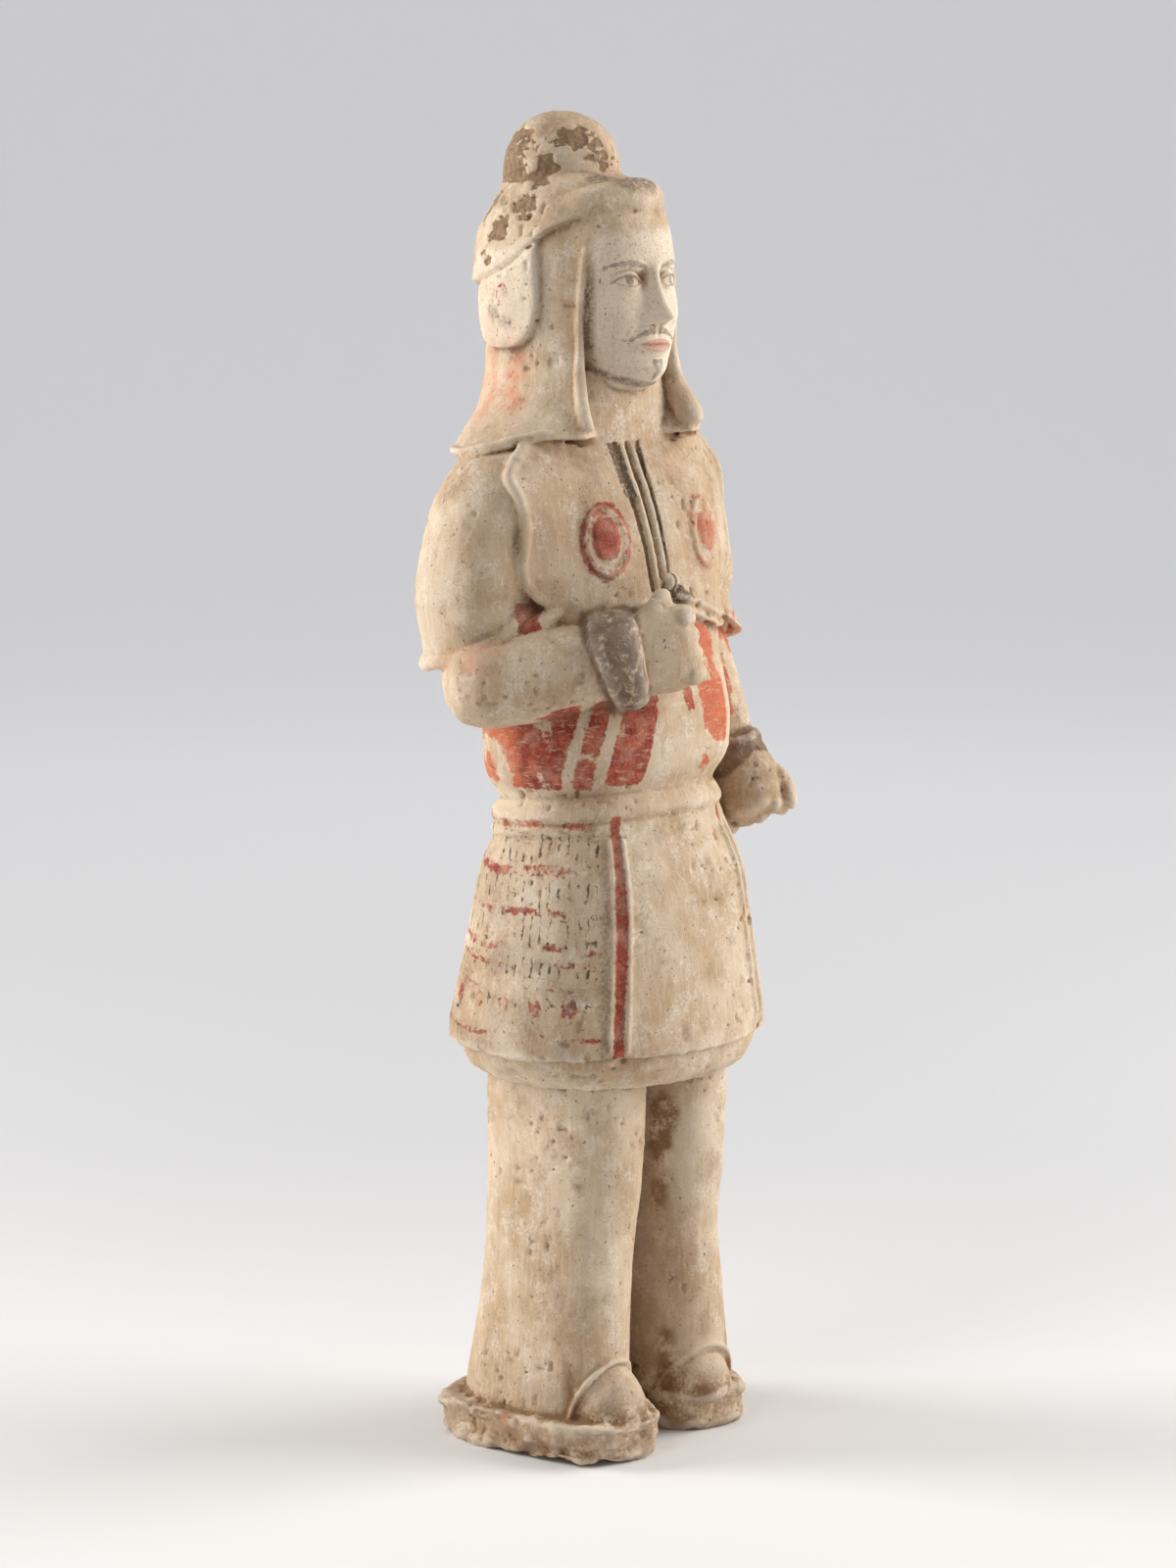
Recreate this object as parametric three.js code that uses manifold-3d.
// A standing pottery warrior: a moulded and painted tomb figure in a hooded helmet, a jacket with two breast
// plates, a flared armour skirt and wide trousers. It was fired as one piece, so it is one closed solid.
// Millimetres, +Z up, +X to the figure's left, and the figure faces -Y. The origin is on the plane that the
// two foot slabs stand on, at the middle of the figure's outline seen from above.
import * as THREE from "three";
import { LoftGeometry } from "three/addons/geometries/LoftGeometry.js";
import { mergeVertices } from "three/addons/utils/BufferGeometryUtils.js";
import Module from "manifold-3d";

const wasm = await Module();
wasm.setup();

const { cos, sin, PI, abs, exp, sign, sqrt, max } = Math;
const RIGHT = -1;
const LEFT = 1;
// A ring's angle runs from the figure's left round its back and its right to its front.
const FRONT = 1.5 * PI;

// Driving dimensions: heights above the ground, then sizes, and the outline's middle as measured from the
// line between the legs
const TOP = 420;
const KNOB_FOOT = 402;
const BRIM = 383;
const HAIRLINE = 391;
const CHIN = 337;
const SHOULDER = 318;
const BELLY = 229;
const WAIST = 206;
const HEM = 131;
const UNDER_HEM = 120;
const SLAB_TOP = 13.5;
const KNOB_RADIUS = 18.4;
const FACE_HALF_WIDTH = 23.5;
const CHEST_HALF_WIDTH = 41;
const CHEST_HALF_DEPTH = 26.8;
const SLEEVE_RADIUS = 19.5;
const WRIST_RADIUS = 12.3;
const CUFF = 12.5;
const HEM_HALF_WIDTH = 53.2;
const HEM_HALF_DEPTH = 43.6;
const HEM_ROUND = 1.4;
const LEG_HALF_WIDTH = 17;
const LEG_HALF_DEPTH = 28.5;
const HOOD_RECESS = 8;
const PLATE_PROUD = 1.4;
const PLACKET_TURN = 0.07;
const MIDDLE = { x: -0.62, y: 0.74 };
const DISC_HEIGHT = 290;
const DISC_TURN = 0.515;
const DISC_SHIFT = 0.055;

// A smooth curve through rows of [position, value, value, ...]: called with a position, it gives the values.
function through(rows) {
  const positions = rows.map((row) => row[0]);
  const values = rows.flatMap((row) => row.slice(1));
  const spline = new THREE.CubicInterpolant(positions, values, rows[0].length - 1);
  return (position) => [...spline.evaluate(position)];
}

function span(from, to, steps) {
  return Array.from({ length: steps + 1 }, (_, i) => from + ((to - from) * i) / steps);
}

// Points round a section, evenly in angle: centre + side * cos + back * sin, squarer as square grows past 2.
function ring(centre, side, back, square, angles) {
  const bow = (value) => sign(value) * abs(value) ** (2 / square);
  return angles.map((angle) =>
    centre.clone().addScaledVector(side, bow(cos(angle))).addScaledVector(back, bow(sin(angle))));
}

function around(count, start = 0) {
  return span(start, start + 2 * PI, count).slice(0, -1);
}

const at = (x, y, z) => new THREE.Vector3(x, y, z);

// The section at one height of a body whose rows are
// [height, centre X, centre Y, half width, half depth, squareness, rise of the front, rise of the left side].
function levelRing(curve, height, angles) {
  const [x, y, wide, deep, square, rise = 0, lean = 0] = curve(height);
  return ring(at(x, y, height), at(wide, 0, lean), at(0, deep, -rise), square, angles);
}

function upright(rows, heights, count) {
  const curve = through(rows);
  return loft(heights.map((height) => levelRing(curve, height, around(count))));
}

// A limb's rows are [distance, X, Y, Z, half width, half height], its sections square to its path.
function limb(rows, steps, count) {
  const curve = through(rows);
  const end = rows.at(-1)[0];
  const place = (s) => at(...curve(THREE.MathUtils.clamp(s, 0, end)).slice(0, 3));
  return loft(span(0, end, steps).map((s) => {
    const heading = place(s + 1).sub(place(s - 1)).normalize();
    const steady = abs(heading.z) > 0.8 ? at(0, 1, 0) : at(0, 0, 1);
    const side = steady.clone().cross(heading).normalize();
    const [, , , wide, high] = curve(s);
    const back = heading.clone().cross(side).multiplyScalar(high);
    return ring(place(s), side.multiplyScalar(wide), back, 2, around(count));
  }));
}

// A thin round cord through a few points
function cord(points, radius, steps) {
  let distance = 0;
  const rows = points.map((point, i) => {
    distance += i ? point.distanceTo(points[i - 1]) : 0;
    return [distance, ...point, radius, radius];
  });
  return limb(rows, steps, 6);
}

function loft(rings) {
  return solid(new LoftGeometry(rings, { closed: true, capStart: true, capEnd: true }));
}

function solid(geometry) {
  const bare = new THREE.BufferGeometry().setAttribute("position", geometry.attributes.position);
  const merged = mergeVertices(bare.setIndex(geometry.index), 1e-3);
  const mesh = new wasm.Mesh({
    numProp: 3,
    vertProperties: merged.attributes.position.array,
    triVerts: new Uint32Array(merged.index.array),
  });
  return new wasm.Manifold(mesh);
}

function join(bodies) {
  return bodies.reduce((whole, body) => whole.add(body));
}

// Lays a flat geometry over a surface: place(x, y) gives the surface's point for a vertex's x and y, and its
// z is the height over the surface there.
function wrap(geometry, place) {
  const position = geometry.attributes.position;
  const step = 0.01;
  for (let i = 0; i < position.count; i++) {
    const [x, y] = [position.getX(i), position.getY(i)];
    const along = place(x + step, y).sub(place(x - step, y));
    const outward = along.cross(place(x, y + step).sub(place(x, y - step))).normalize();
    const point = place(x, y).addScaledVector(outward, position.getZ(i));
    position.setXYZ(i, point.x, point.y, point.z);
  }
  return solid(geometry);
}

// A plate over a surface, from buried millimetres under it to proud millimetres over it: place(u, v) runs
// from 0 to 1 across it and down it.
function plate(place, proud, buried, across, down) {
  const sheet = new THREE.BoxGeometry(1, 1, proud + buried, across, down, 1);
  sheet.translate(0.5, 0.5, (proud - buried) / 2);
  return wrap(sheet, (x, y) => place(x, 1 - y));
}

// The point of a body's surface at an angle and a height.
function skin(curve, angle, height) {
  return levelRing(curve, height, [angle])[0];
}

// The jacket from the waist over the belly and the chest to the neck
const jacketRows = [
  [WAIST - 8, 0, 0, 36.5, 27.5, 2.3, 1],
  [WAIST + 4, 0, 0, 36.6, 28, 2.3, 3],
  [WAIST + 9, 0, 0, 40, 30.6, 2.3, 3],
  [BELLY, 0, 0.2, 42, 32, 2.3, 1],
  [BELLY + 24, 0, 1.4, 40.5, 29, 2.3, 0],
  [BELLY + 46, 0, 2.6, CHEST_HALF_WIDTH, CHEST_HALF_DEPTH, 2.3, 0],
  [BELLY + 60, 0, 3.6, CHEST_HALF_WIDTH + 1, CHEST_HALF_DEPTH - 1.4, 2.3, 0],
  [SHOULDER - 15, 0, 5, CHEST_HALF_WIDTH + 0.4, 22.6, 2.3, 0],
  [SHOULDER - 5, 0, 6, CHEST_HALF_WIDTH - 1.6, 19, 2.3, 0],
  [SHOULDER + 2, 0, 6.4, 32, 15.6, 2.2, 0],
  [SHOULDER + 8, 0, 5.6, 20, 13.6, 2, 0],
];
const jacket = through(jacketRows);

function jacketBody() {
  const low = [WAIST - 8, WAIST + 4, WAIST + 6.5, WAIST + 9];
  const high = span(WAIST + 15, SHOULDER + 8, 10);
  return upright(jacketRows, [...low, ...high], 30);
}

// The placket leans a little to the figure's right at the neck.
function midline(share) {
  return FRONT - 0.035 - 0.055 * (1 - share);
}

// One breast plate: it starts beside the placket, runs out to the armhole and ends over the ribs.
function breastPlate(side) {
  const armhole = through([[0, 1.02], [0.22, 1.34], [0.38, 1.2], [0.7, 1.24], [0.9, 1.2], [1, 1.02]]);
  const place = (u, v) => {
    const turn = THREE.MathUtils.lerp(PLACKET_TURN, armhole(v)[0], u);
    const lower = BELLY + 43 - 13 * u + 15 * max(0, u - 0.68);
    return skin(jacket, midline(v) + side * turn, THREE.MathUtils.lerp(SHOULDER - 1, lower, v));
  };
  const outward = (u, v) => (side === LEFT ? place(u, v) : place(1 - u, v));
  return plate(outward, PLATE_PROUD, 3, 7, 8);
}

// The raised edge where a breast plate ends at the armhole, over the top of the sleeve
function armholeEdge(side) {
  const points = [
    [38.5, -0.2, 317],
    [47.2, -4.5, 309],
    [46.4, -8, 300],
    [44.6, -9.6, 290],
    [46, -10.4, 279.5],
    [42, -11.4, 275],
  ];
  const back = side === LEFT ? 4 : 0;
  return cord(points.map(([x, y, z]) => at(side * (x - back / 3), y + back, z)), 1.7, 9);
}

// The placket strip between the breast plates
function placket() {
  const place = (u, v) => {
    return skin(jacket, midline(v) + PLACKET_TURN * (u - 0.5), THREE.MathUtils.lerp(SHOULDER, BELLY + 40, v));
  };
  return plate(place, PLATE_PROUD - 0.3, 3, 1, 6);
}

// A disc on the breast plate: a dished oval with a raised rim round it and a boss in the middle
function breastDisc(side) {
  const profile = [[0, -4], [1, -4], [1, 1.9], [0.9, 2.8], [0.75, 1.8], [0.4, 2.4], [0, 2.7]];
  const disc = new THREE.LatheGeometry(profile.map(([r, h]) => new THREE.Vector2(r, h)), 16);
  const turn = FRONT + DISC_SHIFT + side * DISC_TURN;
  const place = (x, y) => skin(jacket, turn + x * 0.2, DISC_HEIGHT + y * 11.4);
  return wrap(disc.rotateX(PI / 2), place);
}

// A sleeve hangs from the shoulder as a bell, and its mouth is hollow round the forearm.
function sleeve(side, x, y, radius, mouth) {
  const out = (distance) => side * (x + distance);
  const rows = [
    [0, out(-22), y - 5, SHOULDER + 2, 6, 8, 0, 0],
    [8, out(-14), y - 3, SHOULDER - 2, 14, 15, 0, 0],
    [20, out(-6), y - 1, SHOULDER - 12, radius - 3.6, radius - 2.4, 0, 0],
    [36, out(-2), y, SHOULDER - 28, radius - 1, radius - 0.2, 1, 2],
    [52, out(-0.4), y, SHOULDER - 42, radius, radius + 1, 3, 6],
    [SHOULDER - mouth, out(-1), y + 0.4, mouth + 9, radius - 2.6, radius - 1.4, 5, 9],
  ];
  const curve = through(rows);
  const bell = (s, share = 1, lift = 0) => {
    const [cx, cy, cz, wide, deep, rise, lean] = curve(s);
    const sideways = at(wide * share, 0, -side * lean * share);
    return ring(at(cx, cy, cz + lift), sideways, at(0, deep * share, -rise * share), 2.1, around(18));
  };
  const end = SHOULDER - mouth;
  const wall = span(0, end, 6).map((s) => bell(s));
  const hollow = [bell(end, 0.95, -2.2), bell(end, 0.84, -1.4), bell(end, 0.76, 2.6), bell(end, 0.1, 2.5)];
  return loft([...wall, ...hollow].reverse());
}

// The forearm, its cuff and its fist, for an arm whose elbow, wrist and knuckles are given
function forearm(elbow, wrist, knuckles, radius, fist) {
  const reach = wrist.distanceTo(elbow);
  const blend = (t) => elbow.clone().lerp(wrist, t);
  const swell = [[-0.32, 0.3], [-0.26, 0.72], [-0.12, 1.04], [0.2, 1.14], [0.6, 1.06], [1, 0.94]];
  const rows = swell.map(([t, share]) => {
    return [(t - swell[0][0]) * reach, ...blend(t), radius * share, radius * share];
  });
  const roll = [[0, 0.98], [0.2, 1.18], [0.8, 1.2], [1, 0.92]].map(([t, share]) => {
    const along = 1 + (t * CUFF - 4) / reach;
    return [t * CUFF, ...blend(along), radius * share, radius * share];
  });
  return join([limb(rows, 6, 12), limb(roll, 5, 14), hand(wrist, knuckles, fist)]);
}

// A closed fist: a block across the knuckles with four fingers folded over its front
function hand(wrist, knuckles, size) {
  const heading = knuckles.clone().sub(wrist);
  const swell = [[0, 0.6], [0.22, 0.9], [0.6, 1.04], [0.95, 1], [1.2, 0.72], [1.28, 0.4]];
  const rows = swell.map(([t, share]) => {
    const centre = wrist.clone().addScaledVector(heading, t);
    return [t * heading.length(), ...centre, size.wide * share, size.high * share];
  });
  const palm = limb(rows, 5, 12);
  const along = heading.clone().normalize();
  const fingers = span(-0.74, 0.74, 3).map((share) => {
    const finger = new THREE.SphereGeometry(1, 7, 4);
    finger.scale(size.high * 0.66, size.high * 0.33, size.wide * 0.5);
    const basis = new THREE.Matrix4().lookAt(at(0, 0, 0), along, size.across);
    const centre = knuckles.clone().addScaledVector(size.across, share * size.high);
    return solid(finger.applyMatrix4(basis).translate(...centre.addScaledVector(along, size.wide * 0.1)));
  });
  return join([palm, ...fingers]);
}

function arms() {
  const rightFist = { wide: 9.6, high: 13, across: at(0, 0, 1) };
  const leftFist = { wide: 11, high: 13, across: at(0.5, -0.75, 0.3).normalize() };
  return [
    sleeve(RIGHT, 46, 9.5, SLEEVE_RADIUS, 253),
    sleeve(LEFT, 45.4, 13.5, SLEEVE_RADIUS - 2, 250),
    forearm(at(-51.5, 1.5, 247), at(-23, -27, 253.5), at(-5.5, -38, 258), WRIST_RADIUS + 0.6, rightFist),
    forearm(at(46, 6, 248), at(49.8, -6, 216.5), at(51.2, -15, 197.5), WRIST_RADIUS - 2.6, leftFist),
  ];
}

// The armour skirt, which flares down to its hem, with a belt over its top edge and a second layer under it
const skirtRows = [
  [HEM, 0, 0, HEM_HALF_WIDTH, HEM_HALF_DEPTH, 2.2, 0],
  [HEM + 6, 0, 0, HEM_HALF_WIDTH - 0.3, HEM_HALF_DEPTH - 0.3, 2.2, 0],
  [HEM + 20, 0.6, -0.4, HEM_HALF_WIDTH - 3, HEM_HALF_DEPTH - 2.6, 2.2, 0],
  [HEM + 40, 1, -0.9, HEM_HALF_WIDTH - 6.4, HEM_HALF_DEPTH - 5.6, 2.2, 0],
  [HEM + 55, 1.2, -1, HEM_HALF_WIDTH - 9.4, HEM_HALF_DEPTH - 8.8, 2.25, 0],
  [HEM + 66, 0.8, -0.6, HEM_HALF_WIDTH - 14, HEM_HALF_DEPTH - 13, 2.3, 1],
  [WAIST - 1, 0.3, 0, 37, 28, 2.3, 2],
];
const skirt = through(skirtRows);

function skirtBody() {
  const levels = [HEM, HEM + 1.2, ...span(HEM + 8, WAIST - 1, 6)];
  const angles = around(32);
  const wall = levels.map((height) => levelRing(skirt, height, angles));
  const [wide, deep] = [HEM_HALF_WIDTH - HEM_ROUND, HEM_HALF_DEPTH - HEM_ROUND];
  wall[0] = ring(at(0, 0, HEM), at(wide, 0, 0), at(0, deep, 0), 2.2, angles);
  const under = [
    [UNDER_HEM, 0.6, -0.6, 43, 36, 2.2],
    [UNDER_HEM + 2, 0.6, -0.6, 45.4, 38, 2.2],
    [UNDER_HEM + 6, 0.6, -0.6, 48.4, 40.2, 2.2],
    [HEM + 4, 0.6, -0.6, 50, 41, 2.2],
  ];
  const belt = [
    [WAIST - 9, 0.2, 0, 38.6, 29.6, 2.3, 2],
    [WAIST + 1, 0, 0, 37.6, 28.8, 2.3, 3],
    [WAIST + 3, 0, 0, 36.4, 27.6, 2.3, 3],
  ];
  const stack = (rows, count) => upright(rows, rows.map((row) => row[0]), count);
  return [loft(wall), stack(under, 28), stack(belt, 32)];
}

// The seam between the skirt's front and side panels: two cords down the flare
function skirtSeam(side) {
  const turn = 0.6;
  return [-1, 1].map((edge) => {
    const place = (u, v) => {
      const height = THREE.MathUtils.lerp(WAIST - 9, HEM + 3, v);
      return skin(skirt, FRONT + side * turn + edge * 0.062 + 0.036 * (u - 0.5), height);
    };
    return plate(place, 0.9, 2, 1, 6);
  });
}

// A trouser leg, wide and flat-sided, that spreads a little to the ground
function leg(side, rows) {
  const curve = through(rows);
  const levels = [SLAB_TOP - 4, SLAB_TOP + 3, ...span(28, UNDER_HEM + 2, 4)];
  return loft(levels.map((height) => levelRing(curve, height, around(22))));
}

function legs() {
  const nearLeg = [
    [0, -24, 5, LEG_HALF_WIDTH + 2.4, LEG_HALF_DEPTH + 2, 2.4],
    [27, -22.6, 3.4, LEG_HALF_WIDTH + 1, LEG_HALF_DEPTH + 0.4, 2.4],
    [46, -21.2, 2.2, LEG_HALF_WIDTH - 0.6, LEG_HALF_DEPTH - 1, 2.4],
    [66, -20, 1.4, LEG_HALF_WIDTH - 0.8, LEG_HALF_DEPTH - 1.4, 2.4],
    [85, -18.7, 0.6, LEG_HALF_WIDTH, LEG_HALF_DEPTH - 0.4, 2.4],
    [HEM, -18, 0, LEG_HALF_WIDTH + 0.8, LEG_HALF_DEPTH + 0.4, 2.4],
  ];
  const farLeg = [
    [0, 23, 2.6, LEG_HALF_WIDTH + 1.6, LEG_HALF_DEPTH + 1, 2.4],
    [27, 21.6, 1.8, LEG_HALF_WIDTH + 0.6, LEG_HALF_DEPTH, 2.4],
    [46, 20.2, 1.2, LEG_HALF_WIDTH - 0.4, LEG_HALF_DEPTH - 1, 2.4],
    [66, 18.2, 0.8, LEG_HALF_WIDTH - 0.8, LEG_HALF_DEPTH - 1.4, 2.4],
    [85, 18, 0.2, LEG_HALF_WIDTH, LEG_HALF_DEPTH - 0.6, 2.4],
    [HEM, 18.6, -0.4, LEG_HALF_WIDTH + 0.8, LEG_HALF_DEPTH + 0.4, 2.4],
  ];
  return [leg(RIGHT, nearLeg), leg(LEFT, farLeg)];
}

// A toe cap: half a dome that looks out from under the trouser
function toeCap(x, y, wide, top) {
  const tall = top - SLAB_TOP + 2;
  return loft([0, 0.3, 0.6, 0.82, 0.96].map((share) => {
    const radius = wide * sqrt(1 - share ** 2);
    const centre = at(x, y, SLAB_TOP - 2 + tall * share);
    return ring(centre, at(radius, 0, 0), at(0, radius * 1.06, 0), 2, around(14));
  }));
}

// The clay slab under one foot, hand-cut: an oval whose edge wanders, waisted below its worn upper lip
function slab(x, y, wide, deep, turn, wander) {
  const edge = (share, height) => around(24).map((angle) => {
    const waves = sin(3 * angle + turn * 9) * 0.5 + sin(5 * angle + 1) * 0.3 + sin(9 * angle) * 0.14;
    const wave = 1 + wander * waves;
    const bow = (value) => sign(value) * abs(value) ** (2 / 2.7);
    const flat = at(bow(cos(angle)) * wide, bow(sin(angle)) * deep, 0).multiplyScalar(share * wave);
    return flat.applyAxisAngle(at(0, 0, 1), turn).add(at(x, y, height));
  });
  return loft([edge(0.93, 0), edge(0.985, 2.4), edge(0.965, 7), edge(1, 11), edge(0.96, SLAB_TOP)]);
}

function feet() {
  return [
    slab(-25, 3, 22.6, 36, 0.06, 0.05),
    slab(24.6, 2.6, 19.4, 33.4, -0.05, 0.045),
    toeCap(-21.4, -21.6, 11.4, 28.6),
    toeCap(19.8, -20.6, 10.6, 25.4),
  ];
}

// The hood's rows end in the line that its front is cut back to, where the face looks out of it.
const hoodRows = [
  [SHOULDER - 2, -2, 8.2, 46.6, 28, 2.4, -17],
  [SHOULDER + 3, -1.5, 9.8, 41.2, 29.5, 2.3, -15.9],
  [SHOULDER + 10, -0.6, 11.8, 32.6, 30.6, 2.2, -11.8],
  [SHOULDER + 17, 0, 13, 28.4, 30.4, 2.2, -9],
  [SHOULDER + 28, 0, 13.2, 27, 29.6, 2.2, -8],
  [SHOULDER + 46, 0, 13.2, 26.8, 29.4, 2.2, -8],
  [SHOULDER + 60, 0, 14.6, 26, 28.6, 2.2, -8],
  [SHOULDER + 68, 0, 15.4, 24.6, 27.2, 2.2, -8],
];
const hood = through(hoodRows);

// Half the width of the hood's opening at one height
function hoodOpening([, y, wide, deep, square, cut]) {
  return wide * (1 - ((y - cut) / deep) ** square) ** (1 / square);
}

function hoodPoint(angle, height) {
  const row = hood(height);
  const [x, y, wide, deep, square, cut] = row;
  const point = ring(at(x, y, height), at(wide, 0, 0), at(0, deep, 0), square, [angle])[0];
  const inward = max(0, 1 - ((point.x - x) / hoodOpening(row)) ** 2);
  return point.setY(max(point.y, cut + HOOD_RECESS * inward));
}

// The hood hangs from the helmet over the neck and spreads on the shoulders as a short cape.
function hoodBody() {
  const cape = [SHOULDER - 3.5, SHOULDER - 2, SHOULDER + 1, SHOULDER + 5];
  const levels = [...cape, ...span(SHOULDER + 10, SHOULDER + 68, 5)];
  const rings = levels.map((height) => around(32, PI / 32).map((angle) => hoodPoint(angle, height)));
  return loft(rings);
}

// The raised cord along the hood's edge, from the brow down to the corner of the cape
function hoodEdge(side) {
  const points = span(SHOULDER + 3.5, HAIRLINE, 5).map((height) => {
    const row = hood(height);
    return at(side * (hoodOpening(row) - 0.4), row.at(-1) + 0.8, height);
  });
  return cord(points, 2, 7);
}

// The rounded ear flap that hangs from the brim over the side of the hood
function earFlap(side) {
  const [top, bottom, half] = [BRIM + 2, 347.5, 0.46];
  const place = (u, v) => {
    const share = v < 0.62 ? 1 : sqrt(max(0.02, 1 - ((v - 0.62) / 0.4) ** 2));
    const angle = FRONT + side * 1.72 + (u - 0.5) * 2 * half * share;
    return hoodPoint(angle, THREE.MathUtils.lerp(top, bottom, v));
  };
  return plate(place, 1.5, 3, 4, 7);
}

// The helmet: a rolled brim that sweeps down over the ears to the nape, and a round knob over it. Its lower
// edge and its crown line are heights by how far back they are; its rows are
// [share of the way from one to the other, centre Y, half width, half depth].
function helmet() {
  const [front, nape] = [HAIRLINE, BRIM - 18];
  const drop = [[-20, front], [-4, front - 1.6], [1, 384.5], [13, nape + 8.4], [31, nape + 2], [60, nape]];
  const lower = through(drop);
  const crown = through([[-20, 402.4], [0, 401.6], [20, 399], [60, 391]]);
  const rows = [
    [0, 17, 24, 26.4],
    [0.02, 17, 27, 29.6],
    [0.14, 17.3, 27.8, 30],
    [0.38, 18.4, 27, 29.2],
    [0.62, 19, 25.2, 27],
    [0.82, 19, 22.4, 23.6],
    [1, 20.2, KNOB_RADIUS + 0.7, KNOB_RADIUS + 0.8],
  ];
  const angles = around(28);
  const brim = rows.map(([share, y, wide, deep]) => {
    return ring(at(0, y, 0), at(wide, 0, 0), at(0, deep, 0), 2.1, angles).map((point) =>
      point.setZ(THREE.MathUtils.lerp(lower(point.y)[0], crown(point.y)[0], share)));
  });
  const steepest = 0.44 * PI;
  const dome = span(0.1, steepest, 4).map((t) => {
    const radius = KNOB_RADIUS * cos(t);
    const height = KNOB_FOOT + ((TOP - KNOB_FOOT) * sin(t)) / sin(steepest);
    return ring(at(0, 20.5, height), at(radius, 0, 0), at(0, radius, 0), 2, angles);
  });
  return loft([...brim, ...dome]);
}

// The face's soft forms as
// [distance from the middle, height, width of the form, height of the form, how far it stands out]
const EYE_LINE = CHIN + 0.58 * (HAIRLINE - CHIN);
const NOSE_BASE = CHIN + (HAIRLINE - CHIN) / 3;
const MOUTH = NOSE_BASE - 6.2;
const FACE_FORMS = [
  [0, EYE_LINE - 1, 2.8, 7, 2.4],
  [0, NOSE_BASE + 3.6, 3, 4, 4.4],
  [3.8, NOSE_BASE + 2.4, 2, 2.2, 1.5],
  [9.2, EYE_LINE, 5, 4, -2.2],
  [9.2, EYE_LINE, 3.8, 2.2, 1.6],
  [9, EYE_LINE + 6, 6, 2.6, 1],
  [12.6, NOSE_BASE + 2, 5.6, 6, 1],
  [0, MOUTH + 1.8, 4.6, 1.7, 1.5],
  [0, MOUTH - 2.2, 4, 1.9, 1.5],
  [0, MOUTH - 0.2, 6, 1, -0.6],
  [0, MOUTH - 5.4, 5, 1.8, -0.8],
  [0, CHIN + 4.4, 6, 3.8, 2],
];

function faceRelief(x, z) {
  return FACE_FORMS.reduce((sum, [from, height, wide, high, out]) => {
    return sum + out * exp(-(((abs(x) - from) / wide) ** 2) - ((z - height) / high) ** 2);
  }, 0);
}

// The head inside the hood and the neck under it. Most of each ring's points are on the face.
function head() {
  const rows = [
    [CHIN - 4, 0, 6, 10, 15, 2],
    [CHIN - 1.6, 0, 4.4, 13, 20, 2],
    [CHIN + 2, 0, 4, 16, 23, 2.1],
    [CHIN + 8, 0, 4, FACE_HALF_WIDTH - 4, 24.2, 2.1],
    [CHIN + 17, 0, 4, FACE_HALF_WIDTH - 1, 24.6, 2.15],
    [CHIN + 30, 0, 4, FACE_HALF_WIDTH, 24.6, 2.2],
    [CHIN + 45, 0, 4.4, FACE_HALF_WIDTH - 0.4, 24.6, 2.2],
    [HAIRLINE + 3, 0, 6, FACE_HALF_WIDTH - 3, 21, 2.2],
  ];
  const curve = through(rows);
  const front = span(-0.4 * PI, 0.4 * PI, 22).map((turn) => FRONT + turn);
  const rest = span(FRONT + 0.6 * PI, FRONT + 1.4 * PI, 3);
  const rings = span(CHIN - 4, HAIRLINE + 3, 25).map((height) =>
    levelRing(curve, height, [...front, ...rest]).map((point) => {
      return point.y < 0 ? point.setY(point.y - faceRelief(point.x, height)) : point;
    }));
  const neck = [
    [SHOULDER - 2, 0, 5, 17, 15.4, 2],
    [SHOULDER + 8, 0, 4, 15.6, 14.6, 2],
    [CHIN + 3, 0, 3.6, 15, 14.6, 2],
  ];
  return [loft(rings), upright(neck, span(SHOULDER - 2, CHIN + 3, 2), 20)];
}

// The clay fills any small pocket that the joined forms close off between them.
function filled(body) {
  return body.decompose().reduce((most, shell) => (shell.volume() > most.volume() ? shell : most));
}

function figure() {
  return join([
    jacketBody(), breastPlate(RIGHT), breastPlate(LEFT), placket(), breastDisc(RIGHT), breastDisc(LEFT),
    ...arms(), ...skirtBody(), ...skirtSeam(RIGHT), ...skirtSeam(LEFT), ...legs(), ...feet(),
    ...head(), hoodBody(), hoodEdge(RIGHT), hoodEdge(LEFT), earFlap(RIGHT), earFlap(LEFT), helmet(),
    armholeEdge(RIGHT), armholeEdge(LEFT),
  ]);
}

function geometryOf(body) {
  const mesh = body.getMesh();
  const geometry = new THREE.BufferGeometry();
  geometry.setAttribute("position", new THREE.BufferAttribute(mesh.vertProperties, 3));
  geometry.setIndex(new THREE.BufferAttribute(mesh.triVerts, 1));
  return geometry;
}

const clay = new THREE.MeshStandardMaterial({ color: 0xcdbb9c, roughness: 0.86, metalness: 0 });
const warrior = new THREE.Mesh(geometryOf(filled(figure())), clay);
warrior.name = "warrior_figure";
warrior.position.set(-MIDDLE.x, -MIDDLE.y, 0);

const root = new THREE.Group();
root.add(warrior);
export default root;
